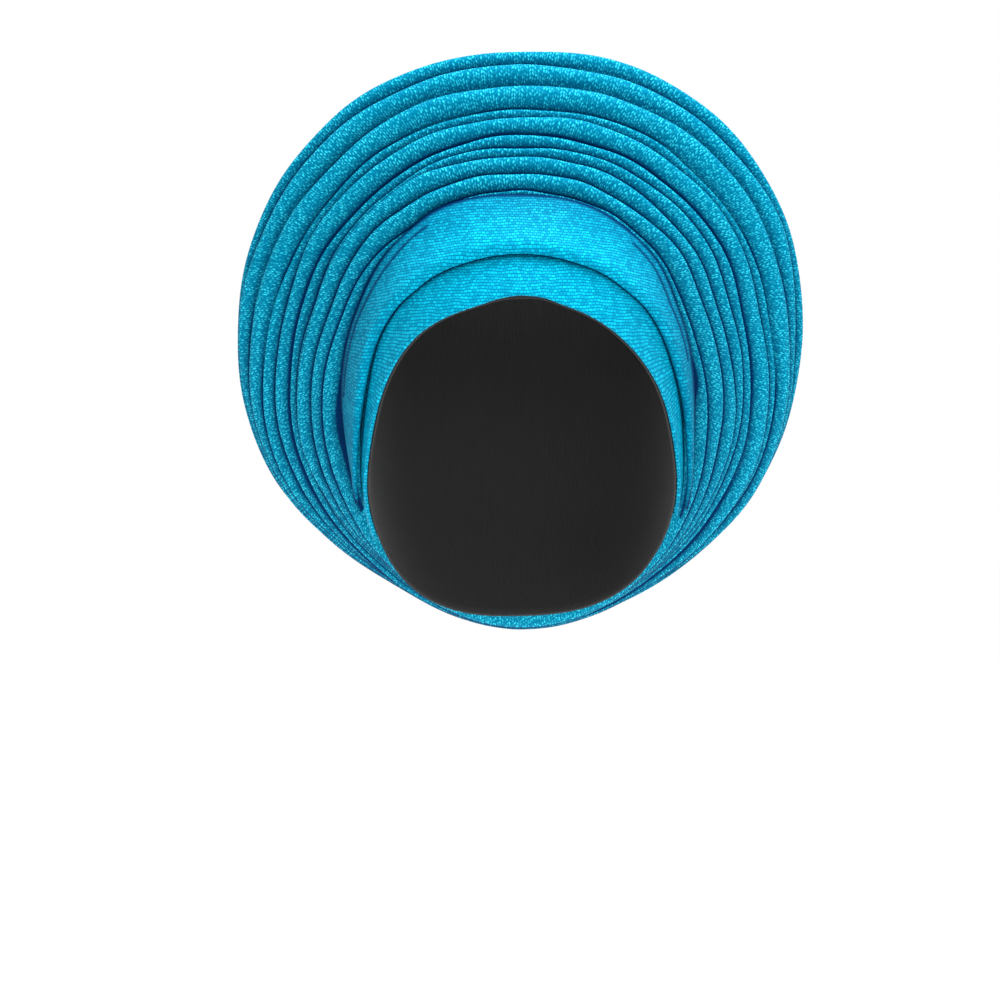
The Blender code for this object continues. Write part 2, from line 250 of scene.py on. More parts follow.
# Radius of each pleat's fold at the clock angles, and how thick its page is at the top height.
#   name        nape   l150   l120   l90    l70    l45    top    r45    r70    r90    r120   r150    top
PLEATS = (
    ("pleat_01", (153.0, 144.0, 144.0, 139.0, 135.0, 131.0, 126.0, 135.0, 139.0, 139.5, 145.0, 147.0), 10.0),
    ("pleat_02", (153.0, 143.5, 143.5, 137.0, 130.5, 124.5, 117.5, 127.5, 134.5, 136.0, 144.5, 147.0), 13.0),
    ("pleat_03", (153.0, 142.5, 142.0, 129.5, 121.5, 113.0, 107.0, 117.5, 126.0, 131.5, 143.5, 146.5), 15.0),
    ("pleat_04", (152.5, 142.0, 138.0, 120.5, 110.5, 101.5, 95.5, 105.0, 114.5, 121.5, 138.0, 146.0), 6.5),
    ("pleat_05", (152.5, 141.0, 132.0, 114.0, 106.0, 97.5, 91.0, 101.0, 110.5, 116.5, 137.0, 145.0), 12.0),
    ("pleat_06", (152.0, 140.0, 125.5, 105.5, 96.5, 87.0, 82.0, 90.5, 100.5, 108.0, 127.0, 141.5), 8.0),
    ("pleat_07", (152.0, 137.5, 122.0, 100.0, 92.0, 83.0, 76.5, 85.0, 95.5, 103.0, 122.5, 140.5), 7.5),
    ("pleat_08", (152.0, 136.5, 121.5, 99.5, 90.5, 80.5, 71.5, 78.5, 88.0, 95.5, 120.0, 139.5), 11.0),
    ("pleat_09", (151.5, 135.0, 115.0, 91.0, 81.5, 71.5, 63.0, 70.5, 80.5, 89.0, 113.5, 138.0), 12.0),
    ("pleat_10", (151.5, 134.0, 109.0, 83.5, 73.0, 62.0, 55.0, 62.0, 71.0, 79.5, 105.0, 137.0), 5.0),
)
# Radius of the upper band's top edge, which lies before the foremost pleat, at the same clock angles.
UPPER_BAND_TOP = (147.0, 129.5, 98.0, 77.5, 69.5, 61.5, 53.0, 60.5, 69.0, 76.0, 97.0, 136.0)
TOP_Z, NAPE_Z = 75.0, -200.0
NAPE_THICKNESS = 3.0
FAN_BACK_TOP_Y, FAN_BACK_NAPE_Y = -32.0, 102.0
PLEAT_SEAT = 3.3
PLEAT_WALL, PLEAT_CLEARANCE = 1.15, 0.17
NOSE_LENGTH, NOSE_SHARE, LEAST_FOLD = 7.0, 0.6, 3.0

# %% Pages between the pleats


class Page:
    """A plane between two pleats: its depth changes evenly from the nape's height to the top's."""

    def __init__(self, top_y, nape_y):
        self.top_y, self.nape_y = top_y, nape_y

    def depth(self, clock, radius):
        height = FAN_Z + radius * np.cos(np.radians(clock))
        share = (height - NAPE_Z) / (TOP_Z - NAPE_Z)
        return self.nape_y + share * (self.top_y - self.nape_y)

    def seat_radius(self, clock, shift):
        """Radius at which the page, moved back by a shift, meets the pleats' seat on the cap."""
        return distance_to_head(lambda radius: place(clock, radius, self.depth(clock, radius) + shift),
                                PLEAT_SEAT, clock.shape)


pages = [Page(FAN_BACK_TOP_Y, FAN_BACK_NAPE_Y)]
for _, _, top_thickness in PLEATS:
    pages.append(Page(pages[-1].top_y - top_thickness, pages[-1].nape_y - NAPE_THICKNESS))
print("the fan is", round(pages[0].top_y - pages[-1].top_y, 1), "mm deep at the top")

# %% Pleat surfaces
# Stations round the clock, the clock angle where the upper band ends, and how far shade reaches out of a
# crease in mm. Where a pleat shows less than that, its shade narrows in proportion, down to this share.
STATIONS = 510
UPPER_BAND_END = 140.0
SHADE_REACH, LEAST_SHADE = 6.0, 0.3
LEAF_STEPS, NOSE_STEPS, LINING_STEPS, LINING_SKIP = 12, 24, 6, 3
WAVER = 0.35
# Painted shade of the pockets where the upper band stands off the fan, laid on the foremost pleat: clock
# angle, half width in degrees, reach in mm.
POCKET_PAINTED_SHADE = ((-119.0, 14.0, 2.6), (109.0, 8.0, 2.0))
# Pleats that look sunk deeper between their neighbours, and how many mm more of them get painted shade.
SUNK_PAINTED_SHADE = {"pleat_05": 0.6}
# A small dip in the rim: clock angle, half width in degrees, depth in mm.
DENT_AT, DENT_HALF, DENT = 5.0, 14.0, 1.2


def fold_waver(clock, number):
    """Small unevenness of a hand-laid fold in mm: three sine waves round the clock, with set phases."""
    angle = np.radians(clock)
    return WAVER * (np.sin(5 * angle + 1.7 * number) + 0.7 * np.sin(9 * angle + 2.9 * number)
                    + 0.4 * np.sin(17 * angle + 0.8 * number))


def pleat_points(fold_radius, front, back, clock):
    """Closed section at every station: front leaf, fold, back leaf, and the same again inside by the wall.

    The leaves lie just inside their pages. The fold is half an ellipse between them:
    radius = fold - nose + nose cos(s), depth = middle + half sin(s), for s from -90 to 90 degrees.
    """
    clock = clock[:, None]
    root = front.seat_radius(clock, PLEAT_CLEARANCE)
    fold = np.maximum(fold_radius[:, None], root + LEAST_FOLD)
    nose = np.minimum(NOSE_LENGTH, NOSE_SHARE * (fold - root))

    def leaf(page, shift, shares):
        start = page.seat_radius(clock, shift)
        radius = start + (fold - nose - start) * shares[None, :]
        return radius, page.depth(clock, radius) + shift

    def turned(swing, inset):
        radius = fold - nose + (nose - inset) * np.cos(swing)[None, :]
        near, far = front.depth(clock, radius), back.depth(clock, radius)
        half = (far - near) / 2 - PLEAT_CLEARANCE - inset
        return radius, (near + far) / 2 + half * np.sin(swing)[None, :]

    outer = np.linspace(0.0, 1.0, LEAF_STEPS, endpoint=False)
    inner = np.linspace(1.0, 0.0, LINING_STEPS)
    swing = np.linspace(-np.pi / 2, np.pi / 2, NOSE_STEPS)
    inset = PLEAT_CLEARANCE + PLEAT_WALL
    runs = [leaf(front, PLEAT_CLEARANCE, outer), turned(swing, 0.0),
            leaf(back, -PLEAT_CLEARANCE, outer[::-1]), leaf(back, -inset, inner[::-1][:-1]),
            turned(swing[::-LINING_SKIP], PLEAT_WALL), leaf(front, inset, inner[1:])]
    radius = np.concatenate([run[0] for run in runs], 1)
    depth = np.concatenate([run[1] for run in runs], 1)
    return radius, depth


def grid_points(clock, radius, depth):
    """Points of a grid from its radius and depth at every station."""
    return np.stack(np.broadcast_arrays(*place(clock[:, None], radius, depth)), 2)


def painted_pocket_shade(clock):
    """How far the painted shade of the two pockets reaches up the foremost pleat: a smooth hump at each."""
    return sum(depth * soft_step(1.0 - np.abs(clock - centre) / half) for centre, half, depth in POCKET_PAINTED_SHADE)


clock = -180.0 + 360.0 * np.arange(STATIONS) / STATIONS
folds = [fair_curve(CLOCK, row, clock) + fold_waver(clock, number)
         for number, (_, row, _) in enumerate(PLEATS)]
folds[0] -= DENT * soft_step(1.0 - np.abs(clock - DENT_AT) / DENT_HALF)
front_of_fan = folds[1:] + [fair_curve(CLOCK, UPPER_BAND_TOP, clock)]
crest_step = LEAF_STEPS + NOSE_STEPS // 2
pleat_pieces = []
for number, (name, _, _) in enumerate(PLEATS):
    radius, depth = pleat_points(folds[number], pages[number + 1], pages[number], clock)
    points = grid_points(clock, radius, depth)
    across = along(points, close=True)
    across = across - across[:, crest_step:crest_step + 1]
    crest = points[:, crest_step]
    way_round = np.concatenate(([0.0], np.cumsum(np.linalg.norm(np.roll(crest, -1, 0) - crest, axis=1))))
    cloth_uv = np.stack((np.broadcast_to(way_round[:, None], (STATIONS + 1, across.shape[1])),
                         np.concatenate((across, across[:1]))), 2)
    # Painted shade and a painted dark line lie on each pleat where it runs into the crease before the pleat
    # in front.
    out_of_crease = np.abs(radius - front_of_fan[number][:, None]) - SUNK_PAINTED_SHADE.get(name, 0.0)
    visible = (folds[number] - front_of_fan[number])[:, None]
    out_of_crease /= np.clip(visible / SHADE_REACH, LEAST_SHADE, 1.0)
    if number == len(PLEATS) - 1:
        # The foremost pleat gets the painted pocket shade, and beyond the upper band's ends no painted shade.
        out_of_crease -= painted_pocket_shade(clock)[:, None]
        out_of_crease[np.abs(clock) > UPPER_BAND_END] = OPEN_CLOTH
    out_of_crease[:, crest_step:] = OPEN_CLOTH
    piece = cloth_piece(name + "_cloth", points, cloth_uv, out_of_crease)
    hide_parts(name)
    pleat_pieces.append(piece)

# %% [markdown]
# ## Bands over the brow
# The forehead band is a flat strip with a turned hem, which shows a thin line of the black cap below it. The
# upper band starts in a rolled fold over it and rises to the foremost pleat. Both narrow to tips in front
# of the ears. Each section is a short table, carried round the clock from the face edge.

# %% Band tables
#   clock, face edge, upper band's fold
EDGES = (
    (-180, 115.0, 116.0),
    (-150, 103.5, 104.5),
    (-132, 72.0, 79.0),
    (-120, 55.0, 66.5),
    (-105, 34.0, 54.0),
    (-90, 14.0, 41.0),
    (-75, 7.4, 30.0),
    (-45, 3.8, 18.9),
    (0, 2.85, 15.0),
    (45, 4.0, 18.8),
    (75, 8.0, 29.5),
    (90, 14.0, 40.5),
    (105, 30.5, 53.5),
    (120, 55.5, 69.5),
    (132, 73.5, 81.0),
    (150, 105.5, 106.5),
)
CAP_REVEAL_DEG, BAND_UNDERLAP_DEG, CROWN_CAP_SETBACK_DEG = 0.7, 4.5, 1.6
FOREHEAD_BAND_END = 150.0
FOREHEAD_BAND_TIPS, UPPER_BAND_TIPS = (-146.0, 141.0), (-138.0, 138.0)
BAND_TIP_SHARE, BAND_TAPER_DEG = 0.12, 35.0
FOREHEAD_BAND_BACK, UPPER_BAND_CENTRE, PIECE_GAP = 1.3, 6.6, 0.35
UPPER_BAND_BULGE, UPPER_BAND_HALF_THICK = 1.5, 1.0

# Section of the forehead band: how far round the section, share of its width up from the hem, distance out.
FOREHEAD_SECTION = (
    (0.00, 0.02, 1.3),
    (0.03, 0.00, 2.2),
    (0.06, 0.03, 3.1),
    (0.25, 0.35, 3.3),
    (0.42, 0.70, 3.8),
    (0.56, 1.00, 3.9),
    (0.60, 1.00, 1.3),
    (0.80, 0.50, 1.3),
)

# Section of the upper band: how far round, share of its width up from the fold, distance forward of middle.
UPPER_SECTION = (
    (0.00, 0.00, 0.0),
    (0.05, 0.04, 2.2),
    (0.11, 0.13, 3.0),
    (0.22, 0.32, 2.2),
    (0.38, 0.65, 1.3),
    (0.54, 1.00, 1.0),
    (0.57, 1.00, -1.0),
    (0.73, 0.60, -1.3),
    (0.88, 0.22, -2.2),
    (0.95, 0.06, -2.0),
)

# Second lap near the upper band's top edge: clock angle, distance below the edge, height of its step.
LAP = (
    (-118, 1.5, 0.0),
    (-110, 2.0, 1.0),
    (-90, 2.8, 1.0),
    (-70, 5.0, 1.0),
    (-52, 4.5, 1.0),
    (-42, 4.5, 0.0),
    (52, 4.0, 0.0),
    (62, 4.0, 0.8),
    (85, 4.0, 0.8),
    (100, 3.0, 0.8),
    (112, 2.5, 0.0),
)
# How wide the step is, how deep in shade its crease lies, how much faster the shade fades on the upper side,
# and the height from which a crease is drawn.
LAP_STEP, LAP_CREASE, LAP_FADE, LAP_SHOWN = 1.2, 0.6, 3.0, 0.5
# Shade in the valley before the fan: distance out of the crease = start + rise x way down from the top edge.
VALLEY_START, VALLEY_RISE = 2.0, 0.18
# The crease under the upper band's fold lies this far in under it, and its shade fades this much faster.
TUCK_DEG, QUICK_FADE = 0.8, 2.2

# %% Band surfaces
BAND_STATIONS, BAND_STEPS = 480, 96


def lap_at(clock):
    """Distance below the top edge and height of the second lap's step, straight between its rows."""
    columns, offset, height = zip(*LAP)
    return np.interp(clock, columns, offset)[:, None], np.interp(clock, columns, height)[:, None]


def band_taper(clock, end):
    """1 along the band, easing to a small tip at its ends: tip + (1 - tip) sqrt(s(2 - s))."""
    share = np.clip((end - np.abs(clock)) / BAND_TAPER_DEG, 0.0, 1.0)
    return BAND_TIP_SHARE + (1.0 - BAND_TIP_SHARE) * np.sqrt(share * (2.0 - share))


def head_edges(clock):
    """Turns of the face edge and of the upper band's fold, in degrees back from straight ahead."""
    columns, face_edge, band_fold = zip(*EDGES)
    return fair_curve(columns, face_edge, clock), fair_curve(columns, band_fold, clock)


def forehead_edges(clock):
    """Turns of the forehead band's hem and of its top, which runs on under the upper band."""
    face_edge, band_fold = head_edges(clock)
    hem = face_edge + CAP_REVEAL_DEG
    return hem, hem + band_taper(clock, FOREHEAD_BAND_END) * (band_fold + BAND_UNDERLAP_DEG - hem)


def section_loop(table, steps):
    """The closed section of a band, as shares of its width and distances at even steps round its table."""
    round_at, share, out = zip(*table)
    at = np.arange(steps) / steps
    return fair_curve(round_at, share, at, closed=1.0), fair_curve(round_at, out, at, closed=1.0)


def forehead_points(clock):
    """The forehead band's grid: the section's share is a turn on the head form, its distance is outside."""
    hem, top = forehead_edges(clock)
    share, out = section_loop(FOREHEAD_SECTION, BAND_STEPS)
    turn = hem[:, None] + np.clip(share, 0.0, 1.0)[None, :] * (top - hem)[:, None]
    radius, depth = on_head(clock[:, None], turn, np.maximum(out, FOREHEAD_BAND_BACK)[None, :])
    return radius, np.minimum(depth, pages[-1].depth(clock[:, None], radius) - PIECE_GAP)


def upper_points(clock):
    """The upper band's grid: from its fold on the head form a straight line rises to the fan, and the
    section lies on that line, bulged forward by 4 s (1 - s)."""
    taper = band_taper(clock, UPPER_BAND_END)[:, None]
    low_radius, low_depth = on_head(clock, head_edges(clock)[1], UPPER_BAND_CENTRE)
    top_radius = fair_curve(CLOCK, UPPER_BAND_TOP, clock)
    top_depth = pages[-1].depth(clock, top_radius) - PIECE_GAP - UPPER_BAND_HALF_THICK
    rise, back = (top_radius - low_radius)[:, None], (top_depth - low_depth)[:, None]
    length = np.hypot(rise, back)
    share, out = (value[None, :] for value in section_loop(UPPER_SECTION, BAND_STEPS))
    share = np.clip(share, 0.0, 1.0)
    offset, height = lap_at(clock)
    sunk = height * soft_step((share * length - length + offset) / LAP_STEP) * (out > 0)
    forward = (out + UPPER_BAND_BULGE * 4 * share * (1 - share) - sunk) * taper
    radius = low_radius[:, None] + share * taper * rise + forward * back / length
    depth = low_depth[:, None] + share * taper * back - forward * rise / length
    return radius, np.minimum(depth, pages[-1].depth(clock[:, None], radius) - PIECE_GAP)


def flat_pattern(points, clock, radius):
    """Cloth millimetres of a band, laid flat as a ring: its threads run straight across the whole ring.

    u = (r + c) sin a and v = (r + c) cos a, with r the inner radius and c the length along the section.
    """
    across = along(points, close=True)
    half = across[:, -1:] / 2
    reach = radius[:, :1] + half - np.abs(across - half)
    angle = np.radians(clock)[:, None]
    uv = np.stack((reach * np.sin(angle), reach * np.cos(angle)), 2)
    return np.concatenate((uv, uv[-1:]))


def add_band(name, tips, points_of, crease_of):
    """Make one band between its tips and hide its solid."""
    clock = np.linspace(*tips, BAND_STATIONS)
    radius, depth = points_of(clock)
    points = grid_points(clock, radius, depth)
    out_of_crease = crease_of(clock, radius, depth)
    piece = cloth_piece(name + "_cloth", points, flat_pattern(points, clock, radius), out_of_crease,
                        close_stations=False)
    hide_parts(name)
    return piece


def below_upper_fold(clock, radius, depth):
    """How far a point of the forehead band lies out of the crease, which is tucked in under the upper
    band's fold: the difference of their turns, as an arc in mm. It sets the painted shade there."""
    turn = np.degrees(np.arctan2(radius, -depth))
    arc = np.radians(head_edges(clock)[1][:, None] + TUCK_DEG - turn) * np.hypot(radius, depth)
    return np.where(np.abs(clock)[:, None] < UPPER_BAND_END, QUICK_FADE * np.abs(arc), OPEN_CLOTH)


def below_fan(clock, radius, depth):
    """How far a point of the upper band lies out of the crease before the foremost pleat, or out of the
    crease along the lap. It sets the painted shade there, also in the valley before the fan."""
    top = fair_curve(CLOCK, UPPER_BAND_TOP, clock)[:, None] - radius
    offset, height = lap_at(clock)
    lap = np.where(top < offset, offset - top, LAP_FADE * (top - offset)) + LAP_CREASE
    lap += OPEN_CLOTH * np.clip(1.0 - height / LAP_SHOWN, 0.0, 1.0)
    return np.minimum(np.minimum(top + LAP_CREASE, VALLEY_START + VALLEY_RISE * top), lap)


forehead_band = add_band("forehead_band", FOREHEAD_BAND_TIPS, forehead_points, below_upper_fold)
upper_band = add_band("upper_band", UPPER_BAND_TIPS, upper_points, below_fan)

# %% [markdown]
# ## Caps
# The black inner cap is a thin knit that holds the wrap on the head. The crown cap over it is of the wrap's
# own cloth and carries the pleats. Both are one surface from their edge back to a pole behind the head, and
# the crown cap has small gathers where it runs out from under the fan.

# %% Cap surfaces
CAP_STATIONS, CAP_RINGS = 360, 44
INNER_CAP, CROWN_CAP = (0.0, 1.0), (1.3, 2.8)
GATHERS, GATHER_HEIGHT, GATHER_START, GATHER_RUN = 36, 0.9, 5.0, 12.0
POLE_TURN = 179.0
# Cloth over the steep sides is longer than its height by this much, a blank has a hem of this many mm, and a
# round blank fills this share of its square.
SIDE_STRETCH, BLANK_HEM, ROUND_SHARE = 1.15, 5.0, 0.78


def cap_points(clock, edge, layer, gathers=0.0):
    """Both walls of a cap: rings at even turns from the pole to the edge inside, and back again outside.

    The gathers lift the outer wall by h cos^2(n a / 2) behind the fan, fading out towards the pole.
    """
    turns = edge[:, None] + (POLE_TURN - edge[:, None]) * np.linspace(0.0, 1.0, CAP_RINGS)[None, :]
    inner, outer = layer
    walls = []
    for grow, order in ((inner, slice(None, None, -1)), (outer, slice(None))):
        radius, depth = on_head(clock[:, None], turns[:, order], grow)
        walls.append((radius, depth))
    radius, depth = walls[1]
    behind = (depth - pages[0].depth(clock[:, None], radius) - GATHER_START) / GATHER_RUN
    fade = soft_step(behind) * np.clip(radius / HEAD_HALF_WIDTH, 0.0, 1.0) ** 2
    lift = gathers * fade * np.cos(np.radians(GATHERS * clock[:, None] / 2)) ** 2
    walls[1] = on_head(clock[:, None], turns, outer + lift)
    return tuple(np.concatenate(pair, 1) for pair in zip(*walls))


def add_cap(name, edge, layer, gathers=0.0):
    """Make a cap and hide its solid."""
    radius, depth = cap_points(clock_cap, edge, layer, gathers)
    points = grid_points(clock_cap, radius, depth)
    x, y, z = points[..., 0], points[..., 1], points[..., 2]
    azimuth = np.arctan2(x, y)
    uv = np.stack((azimuth * HEAD_HALF_DEPTH, z * SIDE_STRETCH), 2)
    uv = np.concatenate((uv, uv[:1]))
    uv = np.concatenate((uv, uv[:, -1:]), 1)
    piece = cloth_piece(name + "_cloth", points, uv, np.full(radius.shape, OPEN_CLOTH), poles=True)
    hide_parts(name)
    return piece


clock_cap = -180.0 + 360.0 * np.arange(CAP_STATIONS) / CAP_STATIONS
crown_edge = forehead_edges(clock_cap)[1] + CROWN_CAP_SETBACK_DEG
inner_cap = add_cap("inner_cap", head_edges(clock_cap)[0], INNER_CAP)
crown_cap = add_cap("crown_cap", crown_edge, CROWN_CAP, GATHER_HEIGHT)

# %% [markdown]
# ## Finishes
# A finish is a small tree of nodes. One helper adds a node, sets it and links it. Colours are written as the
# sRGB values that an eye reads off the cloth, and turned to linear light by one function.

# %% Node helper and colours


def linear(hex_colour):
    """sRGB hex to linear light: below 0.04045 divide by 12.92, above it ((c + 0.055) / 1.055)^2.4."""
    channels = np.array([int(hex_colour[i:i + 2], 16) for i in (1, 3, 5)]) / 255.0
    light = np.where(channels <= 0.04045, channels / 12.92, ((channels + 0.055) / 1.055) ** 2.4)
    return (*light.tolist(), 1.0)


def add(tree, kind, settings=None, inputs=None):
    """Add one node with its settings, and give each named input a value or a link from a socket."""
    node = tree.nodes.new(kind)
    for key, value in (settings or {}).items():
        setattr(node, key, value)
    for key, value in (inputs or {}).items():
        if isinstance(value, bpy.types.NodeSocket):
            tree.links.new(value, node.inputs[key])
        else:
            node.inputs[key].default_value = value
    return node


def new_finish(name):
    """A fresh material with its shader, joined to the output."""
    finish = bpy.data.materials.new(name)
    finish.use_nodes = True
    return finish, finish.node_tree, finish.node_tree.nodes["Principled BSDF"]


# %% [markdown]
# ## Turquoise cloth with silvery dashes
# The cloth is a stiff polyester jacquard with a flat metallic thread. The thread floats on top in short
# dashes, in staggered rows, and dips under between them. That gives fine bright stitches on a deeper, softer
# ground, which flash where the fold faces the light. The dashes also carry painted sheen, a paler colour in
# random patches, and painted glints, a random brightness for each dash, and painted crease shade makes them
# nearly vanish in the creases. On the pleats the dashes lean one way and the other in turn, so that pairs of
# them make V marks 4 mm apart. On the bands they lie in straight rows 1.6 mm apart.

# %% Turquoise cloth
# The pale colours are painted sheen, laid on the dashes in random patches.
PLEAT_GROUND, PLEAT_DEEP, PLEAT_PAINTED_SHEEN = "#007694", "#005270", "#3CD8EA"
BAND_GROUND, BAND_DEEP, BAND_PAINTED_SHEEN = "#006C8A", "#006080", "#10AAC8"
# DASH is the thread's own colour. SHADOW is painted shade towards a crease, and the crease colour is a
# painted dark line of shade in it.
DASH, SHADOW, CREASE_LINE_SHADE = "#0098B4", "#003858", "#002048"
# The film on the thread is dyed, so what it throws back is turquoise too and hardly any of it is white.
SILVER_TINT, THREAD_IOR = "#00C0E0", 1.15
GROUND_ROUGHNESS, THREAD_ROUGHNESS = 0.7, 0.38
# A slanting dash is an oval, this wide and long, and its rows lean this much one way and the other in turn.
OVAL, LEAN, LEAN_RUN, OVAL_CORE, OVAL_RIM, LOOSE = (1.25, 2.0), 0.8, 2.0, 0.14, 0.5, 0.55
# A dash in a straight row: its length, the pitch of the rows, and the gaps beside and at the ends of it.
ROW_DASH, ROW_PITCH, ROW_GAP, END_GAP, ROW_SOFTNESS = 1.9, 1.6, 0.36, 0.2, 0.8
# Sizes in mm: the ground's grain, how far the threads sway and over what length, and the patches of
# painted sheen on the dashes.
GRAIN, SWAY, SWAY_SIZE, SHEEN_PATCH = 0.7, 2.2, 9.0, 16.7
# Spread and level of the ground's grain, and of the patches of painted sheen.
GRAIN_SPREAD, GRAIN_LEVEL, SHEEN_PATCH_SPREAD, SHEEN_PATCH_LEVEL = 2.0, -0.6, 0.5, 0.25
# The painted dark line of shade in a crease runs between these mm out of it, and the painted shade round
# it is this strong at most.
CREASE_CORE, CREASE_REACH, SHADE_MOST = 0.5, 2.0, 0.85
GRAIN_RELIEF, RELIEF_STRENGTH, RELIEF = 0.4, 0.6, 0.3
BRICK_SCALE = 0.1


def swayed_cloth(tree):
    """Cloth millimetres across and along, swayed a little by soft noise, as a hand-laid cloth lies."""
    cloth = add(tree, "ShaderNodeUVMap", {"uv_map": "cloth_mm"})
    sway = add(tree, "ShaderNodeTexNoise", inputs={"Vector": cloth.outputs["UV"], "Scale": 1.0 / SWAY_SIZE,
                                                   "Detail": 1.0})
    swayed = add(tree, "ShaderNodeVectorMath", {"operation": "MULTIPLY_ADD"},
                 {0: sway.outputs["Color"], 1: (SWAY, SWAY, 0.0), 2: cloth.outputs["UV"]})
    flat = add(tree, "ShaderNodeSeparateXYZ", inputs={"Vector": swayed.outputs["Vector"]})
    return cloth.outputs["UV"], flat.outputs["X"], flat.outputs["Y"]


def slanting_dashes(tree, along_fold, across_fold):
    """Oval dashes, one in each cell of a loose grid: bright where the distance from its centre is small.

    A sawtooth of the way along leans the grid one way and the other, so that neighbours make V marks.
    """
    zigzag = add(tree, "ShaderNodeMath", {"operation": "PINGPONG"}, {0: along_fold, 1: LEAN_RUN})
    row = add(tree, "ShaderNodeMath", {"operation": "MULTIPLY_ADD"},
              {0: zigzag.outputs[0], 1: LEAN, 2: across_fold})
    wide = add(tree, "ShaderNodeMath", {"operation": "DIVIDE"}, {0: along_fold, 1: OVAL[0]})
    long = add(tree, "ShaderNodeMath", {"operation": "DIVIDE"}, {0: row.outputs[0], 1: OVAL[1]})
    lie = add(tree, "ShaderNodeCombineXYZ", inputs={"X": wide.outputs[0], "Y": long.outputs[0]})
    cells = add(tree, "ShaderNodeTexVoronoi", {"voronoi_dimensions": "2D"},
                {"Vector": lie.outputs[0], "Scale": 1.0, "Randomness": LOOSE})
    top = add(tree, "ShaderNodeMapRange", {"interpolation_type": "SMOOTHSTEP"},
              {"Value": cells.outputs["Distance"], "From Min": OVAL_CORE, "From Max": OVAL_RIM,
               "To Min": 1.0, "To Max": 0.0})
    # Each cell's random colour gives its dash a random brightness, a painted glint.
    each = add(tree, "ShaderNodeSeparateXYZ", inputs={"Vector": cells.outputs["Color"]})
    return top.outputs[0], each.outputs["X"]


def rows_of_dashes(tree, across, along):
    """Straight staggered rows of dashes, which run across the whole ring of a band."""
    closer = add(tree, "ShaderNodeMath", {"operation": "MULTIPLY"}, {0: across, 1: ROW_GAP / END_GAP})
    lie = add(tree, "ShaderNodeCombineXYZ", inputs={"X": closer.outputs[0], "Y": along})
    # The bricks' two colours give each dash a random brightness between them, a painted glint.
    bricks = add(tree, "ShaderNodeTexBrick", {"offset": 0.5, "offset_frequency": 2},
                 {"Vector": lie.outputs[0], "Color1": (1.0, 1.0, 1.0, 1.0), "Color2": (0.2, 0.2, 0.2, 1.0),
                  "Mortar": (0.0, 0.0, 0.0, 1.0), "Scale": BRICK_SCALE, "Mortar Size": ROW_GAP * BRICK_SCALE,
                  "Mortar Smooth": ROW_SOFTNESS, "Bias": 0.0, "Row Height": ROW_PITCH * BRICK_SCALE,
                  "Brick Width": ROW_DASH * ROW_GAP / END_GAP * BRICK_SCALE})
    top = add(tree, "ShaderNodeMath", {"operation": "SUBTRACT", "use_clamp": True},
              {0: 1.0, 1: bricks.outputs["Fac"]})
    return top.outputs[0], bricks.outputs["Color"]


